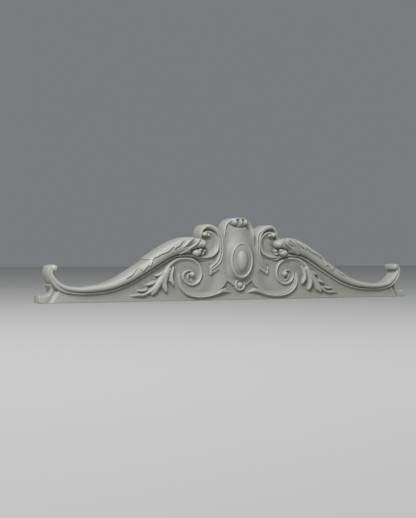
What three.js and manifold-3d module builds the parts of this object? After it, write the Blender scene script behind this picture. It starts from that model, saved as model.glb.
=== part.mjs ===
// Scroll onlay: one cast ornament for a wall, pediment or over-door.
// Millimetres, +Z up, the carved front faces -Y. The flat back lies in the plane y = 0.
// Every form is drawn on the half x > 0 as (u, z), with its depth off the wall, and mirrored to x < 0.
import * as THREE from 'three';
import { mergeVertices } from 'three/addons/utils/BufferGeometryUtils.js';
import Module from 'manifold-3d';

// Driving dimensions
const HALF_LENGTH = 545.5; // centre line to the end block's outer face
const BOTTOM = -104; // straight lower edge, measured from the mount's height
const TOP = 106.5; // crown of the cartouche
const FIELD = 36; // depth of the flat field off the wall
const END_DEPTH = 30; // depth of the end block and its cove
const BURIED = 22; // depth at which forms that lie on the field start, inside it
const BEHIND = -2; // forms that reach the wall start behind it, and one flat cut makes the back
const EDGE_DEPTH = 38.5; // lower arris of the cornice
const FILLET_DEPTH = 41; // narrow fillet over that arris
const GROOVE_DEPTH = 36.6; // groove between the fillet and the ovolo
const OVOLO_RISE = 6.5; // rise of the ovolo over the field, plus a share of its width
const OVOLO_SHARE = 0.24;
const END_BEVEL = 8; // width of the bevel at the slanted end of the field
const STRAPWORK_DEPTH = 41; // plate with the notched straps behind the cartouche
const FACE_DEPTH = 38.5; // hollow flanks of the cartouche face
const CROWN_DEPTH = 30; // the same flanks at the crown, which leans back
const RIDGE_DEPTH = 53.5; // middle of the face beside the oval
const CROWN_RIDGE = 42.5; // middle of the face under the roll
const RIM_RISE = 4; // rims of the crown over the flanks
const POCKET_DEPTH = 33; // floor inside the upper scroll
const OVAL = { z: -3.5, halfWidth: 32.6, halfHeight: 45 };
const BEAD = { z: -65.5, radius: 16.5 };
const ROLL = { z: 93.8, pitch: 15.6, halfWidth: 9, halfHeight: 10, depth: 36, rise: 12 };
const COVE = { u: 527.5, z: -73.4, radius: 13 };
const VOLUTE = { u: 509.6, z: -21.2, radius: 7.6, depth: 40 };

const wasm = await Module();
wasm.setup();

// Solids

function toSolid(geometry) {
  const bare = geometry.index ? geometry.toNonIndexed() : geometry.clone();
  bare.deleteAttribute('normal');
  bare.deleteAttribute('uv');
  const merged = mergeVertices(bare, 1e-4);
  return new wasm.Manifold(new wasm.Mesh({
    numProp: 3,
    vertProperties: new Float32Array(merged.attributes.position.array),
    triVerts: new Uint32Array(merged.index.array),
  }));
}

// Moves every vertex of a closed geometry to place(x, y, z), which returns [u, depth, z].
function shaped(geometry, place) {
  const position = geometry.attributes.position;
  for (let i = 0; i < position.count; i += 1) {
    const [u, depth, z] = place(position.getX(i), position.getY(i), position.getZ(i));
    position.setXYZ(i, u, -depth, z);
  }
  return geometry;
}

function volumePositive(solid) {
  if (solid.volume() < 0) {
    throw new Error('a form is inside out');
  }
  return solid;
}

const lerp = THREE.MathUtils.lerp;
const clamp = THREE.MathUtils.clamp;
const smooth = (value, low, high) => THREE.MathUtils.smoothstep(value, low, high);

// A smooth route through stations [u, z, half width, height], read at any share t of its length.
function route(stations) {
  const line = new THREE.CatmullRomCurve3(
    stations.map(([u, z]) => new THREE.Vector3(u, 0, z)), false, 'centripetal');
  const last = stations.length - 1;
  // the share of the route at which each station lies, so that width and height follow the stations
  const lengths = [0];
  const steps = 24;
  for (let i = 0; i < last; i += 1) {
    let sum = 0;
    for (let k = 0; k < steps; k += 1) {
      const a = line.getPoint((i + k / steps) / last);
      const b = line.getPoint((i + (k + 1) / steps) / last);
      sum += a.distanceTo(b);
    }
    lengths.push(lengths[i] + sum);
  }
  const total = lengths[last];
  return {
    total,
    at(share) {
      const reach = clamp(share, 0, 1) * total;
      let i = 0;
      while (i < last - 1 && lengths[i + 1] < reach) {
        i += 1;
      }
      const part = (reach - lengths[i]) / (lengths[i + 1] - lengths[i]);
      const t = (i + part) / last;
      const point = line.getPoint(t);
      const tangent = line.getTangent(t);
      const width = lerp(stations[i][2], stations[i + 1][2], part);
      const height = lerp(stations[i][3], stations[i + 1][3], part);
      return { point, normal: [tangent.z, -tangent.x], width, height };
    },
  };
}

// A band along a route. section(v, width, height, share) gives the depth of the front at v, which runs
// from -1 at the left-hand edge of the route to 1 at its right-hand edge. easing shortens the first steps.
function band(stations, cuts, step, section, base, easing = 0) {
  const path = route(stations);
  const cutsAt = typeof cuts === 'function' ? cuts : () => cuts;
  const along = Math.max(2, Math.round(path.total / step));
  const across = cutsAt(1).length - 1;
  const box = new THREE.BoxGeometry(across, 1, along, across, 1, along);
  const placed = shaped(box, (x, y, z) => {
    const step01 = (z + along / 2) / along;
    const share = step01 * (1 - easing + easing * step01);
    const { point, normal, width, height } = path.at(share);
    const v = cutsAt(width)[Math.round(x + across / 2)];
    const depth = y > 0 ? base : section(v, width, height, share);
    return [point.x + normal[0] * width * v, depth, point.z + normal[1] * width * v];
  });
  return volumePositive(toSolid(placed));
}

// Sections

const STRIP_CUTS = [-1, -0.72, 0, 0.72, 1];
const LOBE_CUTS = [-1, -0.6, 0, 0.6, 1];

// a rounded strip: full height along its middle, a share of its rise left at the edges
const rounded = (floor, left) => (v, width, height) => {
  const swell = Math.sqrt(Math.max(0, 1 - v * v));
  return lerp(floor, height, left + (1 - left) * swell);
};

// a leaf lobe: raised edges, a valley along its middle
const lobed = (floor) => (v, width, height) => {
  const swell = 1 - Math.abs(v) ** 3;
  const valley = 0.28 * Math.exp(-((v / 0.22) ** 2));
  return lerp(floor, height, 0.35 + 0.65 * swell - valley);
};

// a rim along the left-hand edge with a dished floor beside it
const dished = (floor) => (v, width, height) => {
  const fromRim = ((v + 0.86) * width) / 4.2;
  const rim = Math.exp(-(fromRim ** 2));
  return lerp(floor, height, rim);
};

// the cornice: arris, fillet and groove keep their size, and the ovolo takes the rest of the width
const LOWER_MEMBERS = [
  [0, EDGE_DEPTH], [1.4, FILLET_DEPTH], [4.2, FILLET_DEPTH], [5.8, GROOVE_DEPTH], [8, GROOVE_DEPTH],
];
const OVOLO_START = 9.2;
const OVOLO_CUTS = [0, 0.2, 0.5, 0.82, 1];

const membersScale = (width) => Math.min(1, width / 9.5);

function corniceCuts(width) {
  const scale = membersScale(width);
  const lower = LOWER_MEMBERS.map(([distance]) => (distance * scale) / width - 1);
  const start = (OVOLO_START * scale) / width - 1;
  return [...lower, ...OVOLO_CUTS.map((cut) => lerp(start, 1, cut))];
}

function corniceSection(v, width, fullness, share) {
  const scale = membersScale(width);
  const distance = (v + 1) * width;
  const drawn = smooth(share, 0.03, 0.15);
  const member = LOWER_MEMBERS.findIndex(([reach]) => Math.abs(reach * scale - distance) < 0.01);
  const bulge = FIELD + (OVOLO_RISE + OVOLO_SHARE * 2 * width) * fullness;
  const plain = lerp(EDGE_DEPTH, bulge, Math.sin(Math.PI * Math.min(0.5, distance / (2 * width) + 0.1)));
  if (member >= 0) {
    return lerp(plain, LOWER_MEMBERS[member][1], drawn);
  }
  const along = (distance - OVOLO_START * scale) / (2 * width - OVOLO_START * scale);
  const swell = Math.max(0, 1 - ((along - 0.52) / 0.56) ** 2) ** 0.6;
  return lerp(EDGE_DEPTH, bulge, swell);
}

// Forms, each on the half u > 0

function fieldPlate() {
  const upper = route([
    [506, -77, 0, 0], [490, -72, 0, 0], [457, -77, 0, 0], [430, -78, 0, 0], [400, -75, 0, 0],
    [345, -64, 0, 0], [289, -36, 0, 0], [232, -2, 0, 0], [175, 20, 0, 0], [128, 18, 0, 0],
    [92, 44, 0, 0], [60, 30, 0, 0], [0, 20, 0, 0],
  ]);
  const foot = 523;
  const steps = 30;
  const box = new THREE.BoxGeometry(1, 1, 1, 1, 1, steps);
  const plate = shaped(box, (x, y, z) => {
    // the first step is the bevel of the slanted end
    const step = Math.round((z + 0.5) * steps);
    const share = step === 0 ? 0 : lerp(END_BEVEL / upper.total, 1, (step - 1) / (steps - 1));
    const over = upper.at(share).point;
    const front = step === 0 ? END_DEPTH - 1 : FIELD;
    const u = x > 0 ? over.x : foot * (1 - share);
    return [u, y > 0 ? BEHIND : front, x > 0 ? over.z : BOTTOM];
  });
  return volumePositive(toSolid(plate));
}

function extruded(shape, depth) {
  const options = { depth: depth - BEHIND, bevelEnabled: false, curveSegments: 10 };
  const geometry = new THREE.ExtrudeGeometry(shape, options);
  geometry.rotateX(Math.PI / 2);
  geometry.translate(0, -BEHIND, 0);
  return volumePositive(toSolid(geometry));
}

function endBlock() {
  const shape = new THREE.Shape();
  const turn = Math.acos(4 / COVE.radius);
  shape.moveTo(HALF_LENGTH, BOTTOM);
  shape.lineTo(HALF_LENGTH, COVE.z - COVE.radius * Math.sin(turn));
  shape.absarc(COVE.u, COVE.z, COVE.radius, -turn, Math.PI - turn, true);
  shape.lineTo(512, -58);
  shape.lineTo(500, -70);
  shape.lineTo(500, BOTTOM);
  return extruded(shape, END_DEPTH);
}

// the floor inside the upper scroll
function pocket() {
  const shape = new THREE.Shape();
  shape.moveTo(60, -2);
  shape.lineTo(122, -2);
  shape.lineTo(120, 44);
  shape.lineTo(113.4, 57);
  shape.bezierCurveTo(113.4, 92, 82, 88, 62, 65.6);
  shape.lineTo(56, 30);
  return extruded(shape, POCKET_DEPTH);
}

// the rolled tip of the end volute
function volute() {
  const drum = new THREE.CylinderGeometry(VOLUTE.radius, VOLUTE.radius, VOLUTE.depth, 16);
  const dome = new THREE.SphereGeometry(VOLUTE.radius, 16, 6);
  const drumSolid = toSolid(shaped(drum, (x, y, z) => {
    return [VOLUTE.u + x, VOLUTE.depth * (0.48 - y / VOLUTE.depth), VOLUTE.z + z];
  }));
  const domeSolid = toSolid(shaped(dome, (x, y, z) => {
    return [VOLUTE.u + x, VOLUTE.depth - 0.6 * y, VOLUTE.z + z];
  }));
  return volumePositive(drumSolid).add(volumePositive(domeSolid));
}

// the cornice runs from the curled end volute through the trough and up to the crest
const CORNICE = [
  [511.6, -18.6, 5.4, 0.6], [516, -20.8, 5.7, 0.55], [518.6, -26, 5.8, 0.5], [519, -33, 5.8, 0.5],
  [517, -40, 6.2, 0.5],
  [513, -47.5, 7, 0.5], [506, -56, 7.8, 0.55], [496, -64.5, 8.6, 0.65],
  [480, -72, 9.2, 0.8], [457, -76, 9.6, 0.9], [430, -76.8, 10, 1], [401, -74.3, 11.2, 1],
  [373, -70.5, 12, 1], [345, -62.5, 13.2, 1], [317, -50.5, 15, 1], [289, -35.5, 15.8, 1],
  [261, -19.5, 16.5, 1], [232, -0.8, 18, 1], [205, 15, 19.6, 1], [175, 26, 22.3, 1],
  [152, 30, 24.8, 0.9], [140, 28, 24.6, 0.3], [127, 22, 21, 0.05],
];

const STRAP = [
  [113.4, 57, 1.2, 41], [113.4, 63.5, 1.8, 42], [111.6, 70, 2.4, 42.5], [108, 75.4, 3.2, 43],
  [102.8, 79.8, 4.2, 43.5], [95.8, 82.4, 5, 44], [87, 82, 5.4, 44], [78, 78.6, 5.8, 44],
  [69.5, 73.4, 6.4, 44], [62, 65.6, 6.8, 44], [57, 54, 6, 44], [55.2, 40, 5, 44.5], [55, 26, 5, 44.5],
  [57.4, 10, 5.2, 44.5], [62.5, -3, 5.4, 44.5], [70.5, -12.3, 5.4, 44.5], [80, -19.5, 5.4, 44.5],
  [88.5, -26, 5.2, 44.5],
];

const SCROLL = [
  [134, 4.5, 5.5, 41], [118, 2.2, 6.6, 42], [101, 3.2, 7.4, 42.5], [86, 7, 7.4, 43], [74, 15, 6.4, 43],
  [66.5, 28, 5.2, 42.5], [63.6, 41, 4.6, 42], [67, 52, 5.2, 41.5], [74.5, 60.5, 6, 41], [84, 64.6, 6, 41],
  [93.5, 65.6, 5.2, 41], [100, 64.4, 5.6, 41.5], [104.6, 61.6, 6.6, 42],
];

const SPIRAL = [
  [222, -44, 8, 43], [209, -26, 8.6, 45], [197, -14, 7, 43.5], [181, -4.5, 6, 42.5], [164, -1.2, 5.2, 42],
  [148, -1.8, 5, 42], [134, -6.2, 5, 42], [123.5, -15, 5, 42], [118.3, -27, 5, 42], [117.5, -39, 4.8, 42],
  [121.5, -50.5, 4.4, 42], [130, -58.5, 4, 42], [141.5, -61.8, 3.8, 42], [153, -58.2, 3.6, 42],
  [161, -49.5, 3.4, 42], [162.8, -40, 3.2, 42], [158.5, -32.5, 3, 42], [150, -29.2, 3, 42.5],
  [142.5, -31.5, 3.4, 44],
];

const ARM = [
  [177, -38, 1.2, 40], [175, -52, 4.6, 42], [168.5, -66, 8, 43], [156.5, -76, 10.6, 43.5],
  [143, -81, 12.2, 43.5], [125.5, -82.4, 14.2, 43.5], [108.5, -79, 18.4, 43.5], [94, -72.5, 23.5, 43.5],
  [79, -66, 25, 43.5], [64, -60, 20, 43.5], [52, -56, 12, 42.5],
];

// lobes of the sprig that hangs under the cornice: [root, bend, tip, half width, height]
const SPRIG_TIP = [1, 0.92, 0.4];
const SPRIG = [
  [[210, -28], [217, -56], [214.5, -84], 9, 46],
  [[202, -24], [198, -46], [193.5, -68], 7, 45],
  [[218, -34], [238, -62], [255, -89], 12, 46],
  [[240, -62], [266, -81], [310, -88.5], 7.5, 42.5],
  [[230, -50], [252, -59], [273, -66], 7, 43.5],
  [[218, -32], [234, -38], [250, -45], 7, 43.5],
  [[250, -66], [270, -73], [294, -79], 6, 42],
];

// lobes of the leaf on the cornice, in the same form
const LEAF_TIP = [0.85, 0.6, 0.16];
const CORNICE_LEAF = [
  [[270, -4], [301, -28], [328, -48], 7, 51],
  [[246, 6], [266, -13], [284, -32], 7, 53],
  [[226, 24], [248, 7], [262, -18], 7.5, 54],
  [[184, 42], [205, 27], [226, 10], 7.5, 56],
  [[156, 48], [178, 39], [196, 22], 8, 57],
  [[128, 47], [148, 42], [164, 29], 8, 57.5],
];

// the leaf's curled head and the small leaf at the foot of the large lower scroll
const HEAD = [
  [150, 36, 14, 57], [133, 39, 13, 58], [121, 39.5, 11.6, 57.5], [114, 38.5, 10.4, 56],
];
const FOOT_LEAF = [
  [[76, -90], [60, -84], [38, -74], 5, 46],
  [[70, -90], [48, -85.5], [23, -87], 4.6, 43],
];

// berries under the head and at the ends of the scrolls: [u, z, half width, half height, height]
const BERRIES = [
  [130.5, 16, 14, 9.4, 56], [121.4, 22.4, 5, 4.6, 54.5], [107.2, 20.6, 4.2, 4.2, 50],
  [111.5, 13.4, 6, 4.4, 46], [103, 62, 8, 6.6, 46.5], [114.6, 38.4, 11.6, 10.8, 57],
  [91.6, 60, 4.2, 4.4, 43.5], [140, -39, 8.4, 9, 47],
];

function lobe([root, bend, tip, halfWidth, height], [nearTip, beforeTip, atTip]) {
  const soft = 0.5;
  const stations = [
    [...root, halfWidth * 0.62, height - 1],
    [(root[0] + bend[0]) * soft, (root[1] + bend[1]) * soft, halfWidth * 0.85, height],
    [...bend, halfWidth, height],
    [(bend[0] + tip[0]) * soft, (bend[1] + tip[1]) * soft, halfWidth * nearTip, height - 0.5],
    [lerp(bend[0], tip[0], 0.84), lerp(bend[1], tip[1], 0.84), halfWidth * beforeTip, height - 1.5],
    [...tip, halfWidth * atTip, height - 4],
  ];
  return band(stations, LOBE_CUTS, 14, lobed(FIELD - 2), BURIED);
}

function berry([u, z, halfWidth, halfHeight, height]) {
  const ball = new THREE.SphereGeometry(1, 8, 6);
  const rise = height - FIELD;
  return volumePositive(toSolid(shaped(ball, (x, y, w) => {
    return [u + halfWidth * x, FIELD - rise * y, z + halfHeight * w];
  })));
}

// Plates behind the cartouche, each from the right-hand half of its outline, from the top down: the
// strapwork plate with two notches under it on each side, and a lower one that carries the crown's flanks.
const NOTCHED_PLATE = [
  [0, 24], [56.5, 24], [63.5, 10], [71, -6.3], [82.7, -15.1], [90.8, -21.8], [90.8, -39.6], [88.6, -41.4],
  [64, -27], [53.6, -38.5], [38.8, -54.6], [20.8, -66.3], [0, -74],
];
const UPPER_PLATE = [[0, 66], [44, 66], [54, 52], [56, 40], [56.5, 20], [0, 20]];

function centredPlate(outline, depth) {
  const shape = new THREE.Shape();
  outline.forEach(([u, z], i) => (i === 0 ? shape.moveTo(u, z) : shape.lineTo(u, z)));
  outline.slice(1, -1).reverse().forEach(([u, z]) => shape.lineTo(-u, z));
  return extruded(shape, depth);
}

// The cartouche face: a long bulge down the middle, hollow flanks, and rims at the top. The face leans back
// towards the crown.
function cartoucheDepth(u, z, edge) {
  const lean = smooth(z, 25, 90);
  const flank = lerp(FACE_DEPTH, CROWN_DEPTH, lean);
  const ridge = lerp(RIDGE_DEPTH, CROWN_RIDGE, lean);
  const reach = lerp(48, 30, smooth(z, 10, 90));
  const fullness = Math.max(0, 1 - Math.abs(u / reach) ** 2.8) ** 1.3;
  const bulge = (ridge - flank) * smooth(z, -66, -18) * fullness;
  const rim = RIM_RISE * smooth(Math.abs(u) / edge, 0.78, 0.95) * smooth(z, 48, 68);
  return flank + bulge + rim;
}

// half widths of the face [half width, z] from the crown down
const FACE = [
  [0, TOP], [13, 105], [24.5, 101], [34.5, 93.5], [41, 84], [44, 72], [46.5, 58], [46, 40], [45, 20],
  [45, 0], [44, -20], [40, -38], [32, -52], [18, -63], [0, -67],
];
const FACE_COLUMNS = [-1, -0.9, -0.72, -0.4, 0, 0.4, 0.72, 0.9, 1];

function cartouche() {
  const rows = 16;
  const across = FACE_COLUMNS.length - 1;
  const outline = route(FACE.map(([u, z]) => [u, z, 0, 0]));
  const edges = [];
  for (let i = 0; i <= rows; i += 1) {
    edges.push(outline.at(0.03 + (0.94 * i) / rows).point);
  }
  const box = new THREE.BoxGeometry(across, 1, rows, across, 1, rows);
  return volumePositive(toSolid(shaped(box, (x, y, z) => {
    const edge = edges[Math.round(rows / 2 - z)];
    const u = FACE_COLUMNS[Math.round(x + across / 2)] * edge.x;
    return [u, y > 0 ? BEHIND : cartoucheDepth(u, edge.z, edge.x), edge.z];
  })));
}

// A boss of oval rings: profile [inset from the rim, depth], from the rim inwards to the middle.
function boss(centreZ, halfWidth, halfHeight, base, profile, sides) {
  const smaller = Math.min(halfWidth, halfHeight);
  const points = [new THREE.Vector2(0, base), new THREE.Vector2(smaller, base)];
  profile.forEach(([inset, depth]) => points.push(new THREE.Vector2(smaller - inset, depth)));
  const lathe = new THREE.LatheGeometry(points, sides);
  return volumePositive(toSolid(shaped(lathe, (x, depth, z) => {
    const radius = Math.hypot(x, z);
    const inset = smaller - radius;
    const angle = Math.atan2(z, x);
    // the offset of an oval shrinks to a point, so the inset fades to a plain scale near the middle
    const share = radius / smaller;
    const a = lerp(halfWidth * share, halfWidth - inset, share);
    const b = lerp(halfHeight * share, halfHeight - inset, share);
    return [a * Math.cos(angle), depth, centreZ - b * Math.sin(angle)];
  })));
}

const OVAL_PROFILE = [
  [0, 50], [1.5, 53.4], [3.2, 54.1], [6.5, 50.5], [13, 44], [15.3, 50.8], [19.2, 56.4], [25, 60.6],
  [32.6, 62.5],
];
const BEAD_PROFILE = [[0, 40], [2.5, 43.6], [6.5, 39.6], [8.7, 39.6], [10, 43], [16.5, 47.2]];

function roll(middle) {
  const ball = new THREE.SphereGeometry(1, 10, 7);
  return volumePositive(toSolid(shaped(ball, (x, y, z) => {
    return [middle + ROLL.halfWidth * x, ROLL.depth - ROLL.rise * y, ROLL.z + ROLL.halfHeight * z];
  })));
}

// Assembly

function joined(solids) {
  return solids.reduce((sum, solid) => sum.add(solid));
}

const sideForms = [
  fieldPlate(),
  endBlock(),
  pocket(),
  volute(),
  band(CORNICE, corniceCuts, 19, corniceSection, BEHIND, 0.45),
  band(STRAP, STRIP_CUTS, 13.5, rounded(36, 0.35), BEHIND),
  band(SCROLL, STRIP_CUTS, 13, rounded(34, 0.3), BURIED),
  band(SPIRAL, [-1, -0.5, 0.5, 1], 10.5, rounded(34, 0.3), BURIED),
  band(ARM, [-1, -0.88, -0.74, -0.4, 1], 13, dished(36.2), BURIED),
  band(HEAD, STRIP_CUTS, 9, rounded(38, 0.3), BEHIND),
  ...SPRIG.map((shape) => lobe(shape, SPRIG_TIP)),
  ...CORNICE_LEAF.map((shape) => lobe(shape, LEAF_TIP)),
  ...FOOT_LEAF.map((shape) => lobe(shape, LEAF_TIP)),
  ...BERRIES.map(berry),
];
const rightHalf = joined(sideForms);
const middle = joined([
  centredPlate(NOTCHED_PLATE, STRAPWORK_DEPTH),
  centredPlate(UPPER_PLATE, POCKET_DEPTH),
  cartouche(),
  boss(OVAL.z, OVAL.halfWidth, OVAL.halfHeight, BURIED, OVAL_PROFILE, 28),
  boss(BEAD.z, BEAD.radius, BEAD.radius, BURIED, BEAD_PROFILE, 18),
  roll(-ROLL.pitch),
  roll(0),
  roll(ROLL.pitch),
]);
const wallBox = new THREE.BoxGeometry(3 * HALF_LENGTH, 20, 3 * HALF_LENGTH).translate(0, 10, 0);
const whole = rightHalf.add(rightHalf.mirror([1, 0, 0])).add(middle).subtract(toSolid(wallBox));

function toGeometry(solid) {
  const mesh = solid.getMesh();
  const geometry = new THREE.BufferGeometry();
  geometry.setAttribute('position', new THREE.BufferAttribute(mesh.vertProperties, mesh.numProp));
  geometry.setIndex(new THREE.BufferAttribute(mesh.triVerts, 1));
  geometry.computeVertexNormals();
  return geometry;
}

const castGrey = new THREE.MeshStandardMaterial({ color: 0xa3a59c, roughness: 0.72, metalness: 0 });
const onlay = new THREE.Mesh(toGeometry(whole), castGrey);
onlay.name = 'scroll_onlay';

const part = new THREE.Group();
part.add(onlay);

export default part;
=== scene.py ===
# %% [markdown]
# # A scroll onlay, carved as one relief
#
# The onlay is one casting: a long ornament with a flat back and a carved front. It could be sculpted by
# hand, or joined from a curve and a mesh for each scroll. But a casting that leaves an open mould has no
# undercuts, so its whole front can be written as one height over the wall, depth(u, z), and that is how it
# is made here: each scroll, leaf and ring is a small formula for its own depth, and the greatest depth wins
# at every point. No joint between two forms can then gape or overlap. Both halves are mirror images, so
# only the half u > 0 is worked out.

# %% Load the frame
import math

import bpy
import bmesh
import numpy as np
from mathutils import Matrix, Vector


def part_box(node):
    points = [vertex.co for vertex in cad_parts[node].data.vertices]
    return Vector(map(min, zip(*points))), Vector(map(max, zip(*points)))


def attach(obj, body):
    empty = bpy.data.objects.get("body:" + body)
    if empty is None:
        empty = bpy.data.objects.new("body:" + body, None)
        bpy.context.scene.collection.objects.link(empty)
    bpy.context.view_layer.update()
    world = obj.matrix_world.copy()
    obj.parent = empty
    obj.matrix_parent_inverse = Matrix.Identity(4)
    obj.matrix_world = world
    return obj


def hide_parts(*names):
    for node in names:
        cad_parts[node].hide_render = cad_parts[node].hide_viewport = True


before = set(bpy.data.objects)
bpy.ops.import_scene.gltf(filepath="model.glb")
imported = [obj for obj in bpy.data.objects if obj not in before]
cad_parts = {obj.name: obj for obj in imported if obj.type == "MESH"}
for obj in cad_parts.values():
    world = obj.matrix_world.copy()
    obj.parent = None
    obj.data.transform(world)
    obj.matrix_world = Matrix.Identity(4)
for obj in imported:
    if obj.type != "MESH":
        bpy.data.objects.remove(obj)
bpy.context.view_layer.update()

# %% [markdown]
# ## Driving dimensions
#
# Sizes are in millimetres off the wall or across the front: u runs from the centre line to the end, z from
# the origin up. The length, the lower edge and the crown come from the frame, so the piece always fills
# the solid that it stands for. The other sizes have names here, so that a change is made in one place.

# %% Driving dimensions
NODE = "scroll_onlay"
low, high = (np.array(corner) * 1000 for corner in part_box(NODE))
HALF_LENGTH = float(high[0])
BOTTOM = float(low[2])
TOP = float(high[2])
DEEPEST = float(-low[1])
CELL = 0.75            # spacing of the grid on which the relief is worked out
FIELD = 36             # depth of the flat field
END_DEPTH = 30         # end block and its cove
EDGE_DEPTH = 38.5      # lower arris of the cornice
FILLET_DEPTH = 41      # fillet over that arris
GROOVE_DEPTH = 38.9    # groove between the fillet and the ovolo
STRAPWORK_DEPTH = 41   # notched plate behind the cartouche
FACE_DEPTH = 38.5      # hollow flanks of the cartouche face
CROWN_DEPTH = 31.5     # the same flanks at the crown, which leans back
POCKET_DEPTH = 34      # floor inside the upper scroll
DRAFT = 4.0            # a flank falls this much for each millimetre, as in a mould with draft
SOFTNESS = 0.75        # spread of the blur that rounds every arris, as casting and paint do
ARRIS = 1.1            # radius of the rounded outer edge
print(f"half length {HALF_LENGTH:.1f}, from {BOTTOM:.1f} to {TOP:.1f}, deepest {DEEPEST:.1f}")

# %% The grid of the half relief
columns = round(HALF_LENGTH / CELL)
rows = round((TOP - BOTTOM) / CELL)
u_line = np.linspace(0, HALF_LENGTH, columns + 1)
z_line = np.linspace(BOTTOM, TOP, rows + 1)
U, Z = np.meshgrid(u_line, z_line)
print(f"grid of {U.size} points, cells of {u_line[1]:.3f} by {z_line[1] - z_line[0]:.3f} mm")

# %% [markdown]
# ## Helpers: routes, offsets and outlines
#
# A carver draws a scroll as a line and then works a moulding along it. The helpers do the same. A route is
# a smooth curve through a few stations. `follow` finds, for every grid point near it, how far along and
# how far across the route the point lies, and a section turns those two numbers into a depth. A plate with
# an outline uses the distance to that outline instead.


# %% Smooth steps and mixes
def mix(a, b, share):
    """a + (b - a) * share."""
    return a + (b - a) * share


def smooth(value, start, end):
    """0 before start, 1 after end, and the cubic 3 t^2 - 2 t^3 between them."""
    t = np.clip((value - start) / (end - start), 0, 1)
    return t * t * (3 - 2 * t)


def bump(value, middle, spread):
    """A rounded ridge of height 1: exp(-((value - middle) / spread)^2)."""
    return np.exp(-(((value - middle) / spread) ** 2))


# %% A smooth route through stations
def smooth_route(stations, spacing=0.9):
    """Centripetal Catmull-Rom curve through rows of [u, z, half width, depth].

    The gap between two stations is timed by the square root of its length. Each stretch is a Hermite
    cubic whose end tangents come from the stations on both sides, so the curve never loops back.
    """
    p = np.array(stations, float)
    p = np.vstack([2 * p[0] - p[1], p, 2 * p[-1] - p[-2]])
    gap = np.sqrt(np.linalg.norm(np.diff(p[:, :2], axis=0), axis=1))[:, None]
    before, here, after = gap[:-2], gap[1:-1], gap[2:]
    p0, p1, p2, p3 = p[:-3], p[1:-2], p[2:-1], p[3:]
    start = ((p1 - p0) / before - (p2 - p0) / (before + here) + (p2 - p1) / here) * here
    end = ((p2 - p1) / here - (p3 - p1) / (here + after) + (p3 - p2) / after) * here
    steps = max(2, math.ceil(np.max(gap) ** 2 / spacing))
    t = np.linspace(0, 1, steps, endpoint=False)[None, :, None]
    p1, p2, start, end = (v[:, None, :] for v in (p1, p2, start, end))
    curve = ((2 * t**3 - 3 * t**2 + 1) * p1 + (t**3 - 2 * t**2 + t) * start
             + (3 * t**2 - 2 * t**3) * p2 + (t**3 - t**2) * end)
    return np.vstack([curve.reshape(-1, 4), p[-2]])


# %% Where each grid point lies along and across a route
def follow(stations, margin=6.0):
    """For each grid point near the route: share along it, signed distance across it (positive on the right
    hand of travel), half width and depth of the nearest station, and distance past either end."""
    line = smooth_route(stations)
    nearest = np.full(U.shape, np.inf)
    place = np.zeros(U.shape)
    side = np.ones(U.shape)
    past = np.zeros(U.shape)
    last = len(line) - 2
    for i, (a, b) in enumerate(zip(line[:-1], line[1:])):
        reach = max(a[2], b[2]) + margin
        lowest = np.minimum(a[:2], b[:2]) - reach
        highest = np.maximum(a[:2], b[:2]) + reach
        window = np.s_[np.searchsorted(z_line, lowest[1]):np.searchsorted(z_line, highest[1]),
                       np.searchsorted(u_line, lowest[0]):np.searchsorted(u_line, highest[0])]
        step = b[:2] - a[:2]
        length = max(np.hypot(*step), 1e-6)
        along = ((U[window] - a[0]) * step[0] + (Z[window] - a[1]) * step[1]) / length
        lateral = ((U[window] - a[0]) * step[1] - (Z[window] - a[1]) * step[0]) / length
        t = np.clip(along / length, 0, 1)
        beyond = np.where(along < 0, -along, along - length).clip(0)
        distance = np.hypot(lateral, beyond)
        closer = distance < nearest[window]
        nearest[window] = np.where(closer, distance, nearest[window])
        place[window] = np.where(closer, i + t, place[window])
        side[window] = np.where(closer, np.where(lateral < 0, -1, 1), side[window])
        at_end = (along < 0) & (i == 0) | (along > length) & (i == last)
        past[window] = np.where(closer, np.where(at_end, beyond, 0), past[window])
    index = np.arange(len(line))
    return {
        "share": place / (last + 1),
        "across": side * nearest,
        "width": np.maximum(np.interp(place, index, line[:, 2]), 0.2),
        "depth": np.interp(place, index, line[:, 3]),
        "past": past,
    }


# %% Distance to an outline
def inside(outline):
    """Signed distance from each grid point to a closed outline, positive inside: the distance to the nearest
    edge, with its sign from how many edges a line to the right crosses."""
    points = np.array(outline, float)
    nearest = np.full(U.shape, np.inf)
    crossings = np.zeros(U.shape, int)
    for a, b in zip(points, np.roll(points, -1, axis=0)):
        step = b - a
        t = np.clip(((U - a[0]) * step[0] + (Z - a[1]) * step[1]) / max(step @ step, 1e-9), 0, 1)
        nearest = np.minimum(nearest, np.hypot(U - a[0] - t * step[0], Z - a[1] - t * step[1]))
        if step[1]:
            crosses = ((Z >= a[1]) != (Z >= b[1])) & (U < a[0] + (Z - a[1]) * step[0] / step[1])
            crossings += crosses
    return np.where(crossings % 2 == 1, nearest, -nearest)


# %% A form from a section
def form(path, section):
    """Depth of a band: section(v, path) at v = across / half width, held at its edges, and beyond them
    a flank that falls by DRAFT for each millimetre."""
    v = np.clip(path["across"] / path["width"], -1, 1)
    outside = np.clip(np.abs(path["across"]) - path["width"], 0, None)
    return section(v, path) - DRAFT * outside


def plate(distance, depth):
    """A flat plate with flanks: depth inside its outline, falling by DRAFT for each millimetre outside."""
    return depth - DRAFT * np.clip(-distance, 0, None)


def reach_of(path):
    """Signed distance from a band's edge, positive inside."""
    return path["width"] - np.abs(path["across"])


# %% [markdown]
# ## The routes
#
# Each row is u, z, half width and depth. In the cornice the fourth number is how full the section is, from
# 0 for a flat band to 1 for the full moulding. The cornice starts in the curled end, sinks to a trough and
# climbs to the leaf. The others are the strap and scroll beside the cartouche, the spiral under the
# cornice, the broad arm that swings from the spiral to the middle, and the head that the leaf ends in.
# A Bezier curve could hold the same lines, but a few stations carry width and depth along with the place.

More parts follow.
